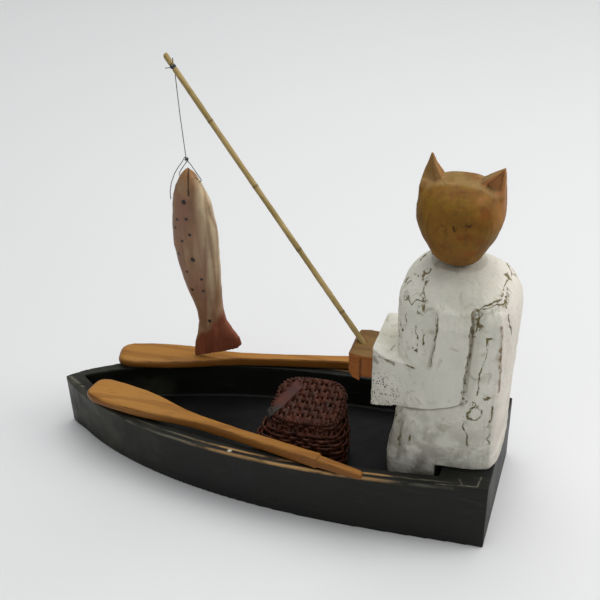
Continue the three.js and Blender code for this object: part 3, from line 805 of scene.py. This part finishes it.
def make_cat_head():
    mesh = fine_copy("cat_head", 0.42, 2)
    points = vertices(mesh)
    ear_foot = ramp(np.abs(points[:, 2] - EAR_FOOT), 10, 5) * ramp(points[:, 1], -3, -6)
    soften(mesh, ear_foot * ramp(np.abs(points[:, 0] - HEAD_X), 11, 14), 150)
    knife_marks(mesh, 0.35, 11, 41)
    points = vertices(mesh)
    x, y, z = points.T
    facing = normals(mesh)
    front = y < 0
    dark = np.zeros(len(points))
    for path, width, strength in FACE_CUTS:
        line = distance_to_path(points[:, [0, 2]], path)
        dark = np.maximum(dark, strength * bell(line, width))
    dark = np.where(front, dark, 0)
    sockets = np.where(front, ramp(np.abs(z - EYES_Z), 4, 0), 0) * ramp(np.abs(x - FACE_X), 17, 9)
    muzzle = np.where(front, ramp(np.hypot(x - FACE_X, (z - MUZZLE_Z) * 0.9), 9, 3), 0)
    push(mesh, -0.7 * dark - 0.5 * sockets + 0.5 * muzzle)
    mark(mesh, "dark", dark)
    ear_hollow = ramp(z, 221, 225) * ramp(facing[:, 1], -0.3, -0.7) * ramp(np.abs(x - HEAD_X), 9, 13)
    mark(mesh, "olive", 0.4 * np.where(y < 6, patches(points, OLIVE), 0))
    mark(mesh, "ruddy", 0.55 * np.where(front, patches(points, RUDDY), 0))
    mark(mesh, "ear", ear_hollow * np.where(x > HEAD_X, 0.85, 0.2))
    brow = y + 8 + 1.5 * soft_noise(points, 6, 46)
    # The top of the head is lighter, partly its stain and partly painted light.
    mark(mesh, "crown_tone_and_light", ramp(brow, -2, 2) * ramp(z, 220, 225))
    # Painted light on the sides of the head facing the stern.
    mark(mesh, "rim", ramp(facing[:, 0], 0.55, 0.9) * ramp(z, 200, 212))
    piece_from("cat_head_carved", mesh, "head", "golden_stain", golden_stain(), "cat_head")


WRIST_X = 61.0  # the near paw's flat steps back from here to the cuff
FINGER_CUTS = (92.5, 96.5, 100.5, 103)  # heights of the cuts between the fingers


def make_paws():
    mesh = fine_copy("paw_block", 0.4, 2)
    knife_marks(mesh, 0.25, 6, 51)
    points = vertices(mesh)
    facing = normals(mesh)
    near_face = ramp(facing[:, 1], -0.3, -0.7) * ramp(points[:, 2], 106, 104)
    wrist = ramp(points[:, 0], WRIST_X - 0.5, WRIST_X + 0.5) * ramp(points[:, 1], -9, -12)
    points[:, 1] += 1.0 * wrist * near_face
    points[:, 2] += 3.5 * wrist * ramp(points[:, 2], 96, 88)
    move(mesh, points)
    cuts = np.zeros(len(points))
    for level in FINGER_CUTS:
        tilt = points[:, 2] - level - 0.15 * (points[:, 0] - 54) + 0.4 * soft_noise(points, 4, 52)
        cuts = np.maximum(cuts, bell(tilt, 0.4))
    cuts *= ramp(facing[:, 0], -0.1, -0.25) * ramp(facing[:, 2], 0.6, 0.3)
    seam = bell(points[:, 0] - WRIST_X, 0.6) * near_face
    mark(mesh, "cut", np.maximum(0.5 * cuts, 0.7 * seam))
    mark(mesh, "side", ramp(facing[:, 2], 0.8, 0.3))
    push(mesh, -0.35 * cuts)
    wood = grained_wood("bare_wood", "8b6c3c", "7b5a2e", "573818", ALONG_Z, edge="984f12")
    piece_from("paws_carved", mesh, "boat", "bare_wood", wood, "paw_block")


# ---- rod and thread ----
NOTCH_DEPTH = 0.45  # a groove round the rod keeps the line's knot in place
KNUCKLES = (24, 71, 118, 166)  # the bamboo's joints, from the paws
ROD_KNOT_TURNS = 4
ROD_KNOT_PITCH = 0.5


def make_rod():
    mesh = fine_copy("rod", 0.33, 1)
    points = vertices(mesh)
    along = (points - ROD_ENTRY) @ ROD_DIRECTION
    knuckles = np.zeros(len(points))
    for place in KNUCKLES:
        knuckles = np.maximum(knuckles, bell(along - place, 0.8))
    mark(mesh, "node_ring", 0.75 * knuckles)
    notch = bell((points - TIED_AT) @ ROD_DIRECTION, 1.5)
    push(mesh, 0.14 + 0.16 * knuckles + 0.1 * soft_noise(points, 9, 61) - NOTCH_DEPTH * notch)
    piece_from("rod_bamboo", mesh, "rod_body", "bamboo", bamboo_skin(), "rod")


def make_thread(name, points, material, body, *nodes):
    """A thread on one smooth spline through points in millimetres."""
    data = bpy.data.curves.new(name, "CURVE")
    data.dimensions = "3D"
    data.bevel_depth = THREAD / 2 * MM
    data.bevel_resolution = 3
    data.use_fill_caps = True
    data.resolution_u = 6
    spline = data.splines.new("NURBS")
    spline.order_u = 3
    spline.use_endpoint_u = True
    spline.points.add(len(points) - 1)
    for point, place in zip(spline.points, points):
        point.co = (*(Vector(place) * MM), 1)
    piece = add_object(name, data)
    data.materials.append(material)
    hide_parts(*nodes)
    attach(piece, body)
    return piece


def fish_point(w, s, y=0.0):
    return BRIDLE + w * FISH_ACROSS + s * FISH_DOWN + [0, y, 0]


# Across the fish, down from the bridle knot, and towards the back: out of the knot, down to the right,
# through the hole in the snout, up again and round the knot, and down to the loose end.
BRIDLE_ROUTE = [
    (0.4, 0.4, -0.5), (2.3, 3.2), (5, 8.4), (6.8, 12), (7.9, 13.9), (7.8, 15.1), (6.5, 15.6),
    (4, 14.4), (0, 13.3), (-3.4, 12.4), (-5.6, 12.2), (-6.6, 11), (-6, 9.3), (-4.6, 7.4, 0.3),
    (-2.3, 4.5, 0.7), (-0.5, 2.3, 0.8), (0.85, 0.9, 0.7), (1.2, -0.4, 0.6), (0.2, -1.4, 0.5),
    (-1.1, -1, 0.45), (-1.9, 0.2, 0.4), (-3.2, 2.1, 0.3), (-5.9, 5.1, 0.1), (-9.4, 10, -0.4),
    (-12.6, 16.6, -0.8), (-14.3, 23, -1.2), (-14.6, 28, -1.5),
]


def make_rod_knot(thread):
    """Turns of thread round the rod, with an end standing up and one pointing to the bow."""
    sideways = np.cross(ROD_DIRECTION, [0, 0, 1])
    sideways /= np.linalg.norm(sideways)
    upwards = np.cross(sideways, ROD_DIRECTION)
    coil_radius = ROD_R - NOTCH_DEPTH + THREAD / 2 + 0.15
    steps = 12 * ROD_KNOT_TURNS

    def around(angle, radius, along):
        across = math.cos(angle) * sideways + math.sin(angle) * upwards
        return TIED_AT + radius * across + along * ROD_DIRECTION

    coil = [TIED_AT + [0.6, -1.8, 6.4], TIED_AT + [0.9, -2, 3.8]]
    coil.append(around(math.pi, coil_radius + 0.3, 1.4))
    for i in range(steps + 1):
        angle = (i / 6 + 1) * math.pi
        coil.append(around(angle, coil_radius, (0.5 - i / steps) * ROD_KNOT_PITCH * ROD_KNOT_TURNS))
    coil += [TIED_AT + [-2, -1.8, -0.2], TIED_AT + [-4.6, -1.6, -1.1]]
    return make_thread("knot_round_rod", coil, thread, "rod_body", "rod_tip_knot")


def make_threads():
    thread = thread_fibre()
    rod_knot = make_rod_knot(thread)
    bottom = BRIDLE + 0.03 * (LINE_TOP - BRIDLE)
    middle = LINE_TOP + 0.5 * (bottom - LINE_TOP) + [-0.3, 0, 0]
    line = [LINE_TOP, *(LINE_TOP + t * (middle - LINE_TOP) for t in (0.35, 0.7)), middle]
    line += [middle + t * (bottom - middle) for t in (0.35, 0.7, 1)]
    main = make_thread("thread_line", line, thread, "line_body", "fishing_line")

    route = [fish_point(*place) for place in BRIDLE_ROUTE]
    bridle = make_thread("thread_bridle", route, thread, "fish_body", "bridle_line")
    knot = make_bridle_knot(thread)


def make_bridle_knot(material):
    """An overhand knot: a trefoil of thread, pulled tight."""
    points = []
    steps = 28
    for i in range(steps + 1):
        t = i / steps * 2 * math.pi
        radius = 0.3 * (2 + math.cos(3 * t))
        place = [radius * math.cos(2 * t), 0.36 * math.sin(3 * t), 1.1 * radius * math.sin(2 * t)]
        points.append(BRIDLE + place)
    return make_thread("knot_at_bridle", points, material, "fish_body", "bridle_knot")


# ---- fish ----
# Spots, in the fish's own frame: across, down, radius.
FISH_SPOTS = [
    (-3.6, 27.0, 1.7), (-3.8, 39.4, 1.2), (-10.7, 40.3, 1.0), (-13.2, 46.7, 0.8),
    (-3.2, 50.8, 1.2), (-9.4, 55.9, 1.0), (-14.2, 66.2, 1.2), (-4.0, 69.3, 1.6),
    (-10.0, 79.2, 1.0), (-0.2, 84.2, 1.0), (-8.8, 93.3, 1.1), (-0.4, 93.8, 1.0),
    (-0.6, 118.4, 1.3),
]
MOUTH = [(1.0, 6.5), (0.8, 14.9), (0.2, 22.6)]  # a cut down the snout, in the same frame


def make_fish():
    mesh = fine_copy("fish", 0.45, 2)
    knife_marks(mesh, 0.35, 12, 71)
    points = vertices(mesh)
    from_knot = points - BRIDLE
    across = from_knot @ FISH_ACROSS
    down = from_knot @ FISH_DOWN
    flat = np.stack([across, down], axis=1)
    spots = np.zeros(len(points))
    for w, s, radius in FISH_SPOTS:
        ragged = np.linalg.norm(flat - [w, s], axis=1) + 0.3 * soft_noise(points, 1.6, 72)
        spots = np.maximum(spots, ramp(ragged, radius + 0.35, radius - 0.35))
    mouth = distance_to_path(flat, MOUTH) + 0.25 * soft_noise(points, 2.5, 74)
    mark(mesh, "spot", np.maximum(spots, 0.9 * ramp(mouth, 0.75, 0.3)))
    mark(mesh, "belly", ramp(across + 0.05 * down, 3, 12) * ramp(down, 104, 70))
    mark(mesh, "snout", 0.7 * ramp(down, 16, 8) + 0.3 * ramp(mouth, 3, 1))
    slant = down + 0.9 * across
    mark(mesh, "tail", ramp(slant + 3.5 * soft_noise(points, 8, 73), 112, 134))
    rays = np.sin(across * 2.2) * ramp(down, 124, 136)
    push(mesh, 0.12 * rays - 0.55 * ramp(mouth, 1.0, 0.3) - 0.12 * spots)
    piece_from("fish_carved", mesh, "fish_body", "fish_paint", fish_paint(), "fish")


# ---- creel ----
CREEL_CENTRE = (25.5, -11.5)
CREEL_FLOOR = 17.9  # height of the creel's base
LID_SLOPE = 0.42
ROWS = 11
ROW_PITCH = 3.35
STAKES = 24
LID_LEVEL = 36.5  # of the lid's edge, in the middle
LID_STRAND = 1.3
LID_NORMAL = np.array([0, -LID_SLOPE, 1]) / math.hypot(1, LID_SLOPE)
LID_PITCH = (4.6, 3.1)  # between strands that run along X, and between those along Y
LID_BREADTH = (1.45, 1.1)  # how broad those strands are, in LID_STRAND
RIM_TURNS = 58  # of the strand that binds the lid's rim
CORE_DEPTH = 1.7  # of the dark inner shape behind the strands
FIRST_LEVEL = 1.7  # height of level 0 above the base
# A leather strap crosses the lid's near corner towards the bow and turns down over its edge.
STRAP_ON_LID = [(17.5, 2.5), (15.2, -1), (12.5, -5.5), (9.8, -10), (7.4, -13.6)]
STRAP_OVER_EDGE = [(5.0, -16.6, 54.4), (2.8, -18.2, 52.0), (1.4, -18.8, 49.6)]


class Weave:
    """Collects bent wicker strands as tubes with a flattened section, all in one mesh."""

    def __init__(self):
        self.places = []
        self.faces = []

    def add(self, centres, outwards, half_out, half_wide, closed=False, sides=7):
        """A strand along centres. outwards tells which way its flatter side faces."""
        centres = np.asarray(centres, float)
        if closed:
            ahead = np.roll(centres, -1, axis=0) - np.roll(centres, 1, axis=0)
        else:
            ahead = np.gradient(centres, axis=0)
        ahead /= np.linalg.norm(ahead, axis=1, keepdims=True)
        across = np.cross(ahead, outwards)
        across /= np.linalg.norm(across, axis=1, keepdims=True)
        outwards = np.cross(across, ahead)
        start = len(self.places)
        count = len(centres)
        for i in range(count):
            for k in range(sides):
                angle = 2 * math.pi * k / sides
                offset = half_out * math.cos(angle) * outwards[i]
                offset = offset + half_wide * math.sin(angle) * across[i]
                self.places.append(centres[i] + offset)
        for i in range(count if closed else count - 1):
            here, there = start + i * sides, start + (i + 1) % count * sides
            for k in range(sides):
                after = (k + 1) % sides
                self.faces.append((here + k, here + after, there + after, there + k))
        if not closed:
            self.faces.append(tuple(start + k for k in reversed(range(sides))))
            self.faces.append(tuple(start + (count - 1) * sides + k for k in range(sides)))

    def piece(self, name, material, body, slot):
        mesh = bpy.data.meshes.new(name)
        mesh.from_pydata([tuple(place * MM) for place in self.places], [], self.faces)
        shell = bmesh.new()
        shell.from_mesh(mesh)
        bmesh.ops.recalc_face_normals(shell, faces=shell.faces)
        shell.to_mesh(mesh)
        shell.free()
        mesh.shade_smooth()
        return piece_from(name, mesh, body, slot, material)


def creel_shape():
    """Two functions that find places on the CAD creel: by level and angle, and on top by x and y."""
    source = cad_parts["creel"].data
    corners = [v.co for v in source.vertices]
    tree = BVHTree.FromPolygons(corners, [tuple(p.vertices) for p in source.polygons])

    def surface(level, angle):
        lean = LID_SLOPE * min(1, max(0, (level - 17) / 19))
        centre = Vector((*CREEL_CENTRE, CREEL_FLOOR + FIRST_LEVEL + level)) * MM
        rise = lean * math.sin(angle) + 0.05 * math.cos(angle)
        direction = Vector((math.cos(angle), math.sin(angle), rise))
        hit = tree.ray_cast(centre, direction.normalized(), 0.2)[0]
        return np.array(hit) / MM

    def top(x, y):
        hit, normal = tree.ray_cast(Vector((x, y, 200)) * MM, Vector((0, 0, -1)), 0.4)[:2]
        return np.array(hit) / MM if hit and normal.z > 0.8 else None

    return surface, top


def outward(angle):
    return np.array([math.cos(angle), math.sin(angle), 0])


def weave_sides(surface, rng):
    weave = Weave()
    steps = 10 * STAKES
    angles = np.arange(steps) / steps * 2 * math.pi
    for row in range(ROWS):
        level = 1.3 + row * ROW_PITCH
        half = ROW_PITCH / 2 * rng.uniform(0.9, 1.12)
        drift = np.append(rng.uniform(-0.7, 0.7, 12), 0)
        drift = np.interp(angles, np.linspace(0, 2 * math.pi, 13), drift)
        drift[-1] = drift[0]
        centres = []
        for angle, wander in zip(angles, drift):
            place = surface(level + wander * 0.6, angle)
            over = math.cos(STAKES / 2 * angle + math.pi * row)
            centres.append(place + outward(angle) * (0.85 * over - 0.95) + [0, 0, 0.25 * over])
        weave.add(centres, [outward(a) for a in angles], 0.85, half, closed=True)
    for stake in range(STAKES):
        angle = 2 * math.pi * (stake + 0.5) / STAKES
        levels = np.linspace(0.2, ROWS * ROW_PITCH, 12)
        centres = [surface(level, angle) - outward(angle) * 1.0 for level in levels]
        weave.add(centres, [outward(angle)] * len(levels), 0.8, 1.1)
    return weave


def weave_lid(surface, top, rng):
    weave = Weave()
    low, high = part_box("creel")
    for along, phase in ((1, 0), (0, 1)):
        across = 1 - along
        offset = low[across] / MM + 2
        count = 0
        while offset < high[across] / MM - 2:
            strand = []
            start, end = low[along] / MM, high[along] / MM
            for place in np.arange(start, end, 0.7):
                spot = np.zeros(2)
                spot[across], spot[along] = offset + 0.3 * math.sin(place / 5 + count), place
                found = top(*spot)
                if found is None:
                    continue
                over = math.cos(math.pi * (place / LID_PITCH[across] + count + phase))
                strand.append(found + LID_NORMAL * (0.6 * over - 0.35))
            if len(strand) > 6:
                width = LID_STRAND * rng.uniform(0.85, 1.1) * LID_BREADTH[along]
                weave.add(strand, [LID_NORMAL] * len(strand), 0.75, width)
            offset += LID_PITCH[along] * rng.uniform(0.92, 1.08)
            count += 1
    weave_rim(weave, surface)
    return weave


def weave_rim(weave, surface):
    """A thick strand round the lid's edge, and a thin one wound round it."""
    steps = 150
    angles = np.arange(steps) / steps * 2 * math.pi
    rim = [surface(LID_LEVEL, angle) - outward(angle) * 0.9 for angle in angles]
    weave.add(rim, [outward(a) for a in angles], 1.0, 1.5, closed=True)
    binding = []
    facing = []
    for i in range(RIM_TURNS * 9):
        angle = 2 * math.pi * i / (RIM_TURNS * 9)
        twist = 2 * math.pi * i / 9
        centre = surface(LID_LEVEL, angle) - outward(angle) * 0.9
        spoke = outward(angle) * math.cos(twist) * 1.35 + np.array([0, 0, 1.95]) * math.sin(twist)
        binding.append(centre + spoke)
        facing.append(spoke / np.linalg.norm(spoke))
    weave.add(binding, facing, 0.5, 0.75, closed=True, sides=6)


def make_strap(top):
    strap = Weave()
    over_edge = np.array([-0.62, -0.45, 0.64])
    route = [(top(x, y) + 0.9 * LID_NORMAL, LID_NORMAL) for x, y in STRAP_ON_LID]
    route += [(np.array(place), over_edge) for place in STRAP_OVER_EDGE]
    centres, facing = (np.array(rows) for rows in zip(*route))
    strap.add(centres, facing, 0.55, 3.8, sides=14)
    piece = strap.piece("creel_strap", strap_leather(), "creel_body", "wicker_brown")
    mark(piece.data, "lower", ramp(vertices(piece.data)[:, 2], 58, 55))


def make_creel():
    surface, top = creel_shape()
    rng = np.random.default_rng(81)
    # A dark core stands for the shade between the strands.
    core = fine_copy("creel", 0.8, 2)
    push(core, np.full(len(core.vertices), -CORE_DEPTH))
    wicker = wicker_paint()
    piece_from("creel_inside", core, "creel_body", "wicker_brown", wicker_shade(), "creel")
    weave_sides(surface, rng).piece("creel_sides", wicker, "creel_body", "wicker_brown")
    weave_lid(surface, top, rng).piece("creel_lid", wicker, "creel_body", "wicker_brown")
    make_strap(top)


# ---- paddles ----
# Node, body, heading of the grain in degrees, and seed.
PADDLES = (
    ("paddle_near", "near_paddle_body", -12.5, 91),
    ("paddle_far", "far_paddle_body", 10.2, 95),
)


def make_paddle(node, body, heading, seed):
    turn = (0, 0, -math.radians(heading))
    along = (0.1, 1, 1)
    wood = grained_wood(node + "_wood", "ab7836", "956223", "764818", along, turn, 0.48, edge="744516")
    mesh = fine_copy(node, 0.5, 2)
    knife_marks(mesh, 0.22, 14, seed)
    points = vertices(mesh)
    push(mesh, 0.6 * ramp(points[:, 0], -55, -80) * ramp(normals(mesh)[:, 2], -0.5, 0))
    facing = normals(mesh)[:, 2] + 0.12 * soft_noise(points, 7, seed + 2)
    mark(mesh, "side", ramp(facing, 0.6, 0.25))
    mark(mesh, "cut", bell(facing - 0.6, 0.16))
    piece_from(node + "_carved", mesh, body, "pale_wood", wood, node)


def paint_dowels():
    """The hidden dowels and pegs keep their CAD shape, in plain wood."""
    wood = grained_wood("dowel_wood", "b98a52", "a3733c", "7c4f22", ALONG_Z)
    for node in ("neck_dowel", "seat_peg_near", "seat_peg_far", "wrist_dowel"):
        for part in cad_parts[node].material_slots:
            part.material = wood


# ---- everything ----
make_camera()
make_threads()
make_stage()
make_hull()
make_cat_body()
make_cat_head()
make_paws()
make_rod()
make_fish()
make_creel()
for paddle in PADDLES:
    make_paddle(*paddle)
paint_dowels()
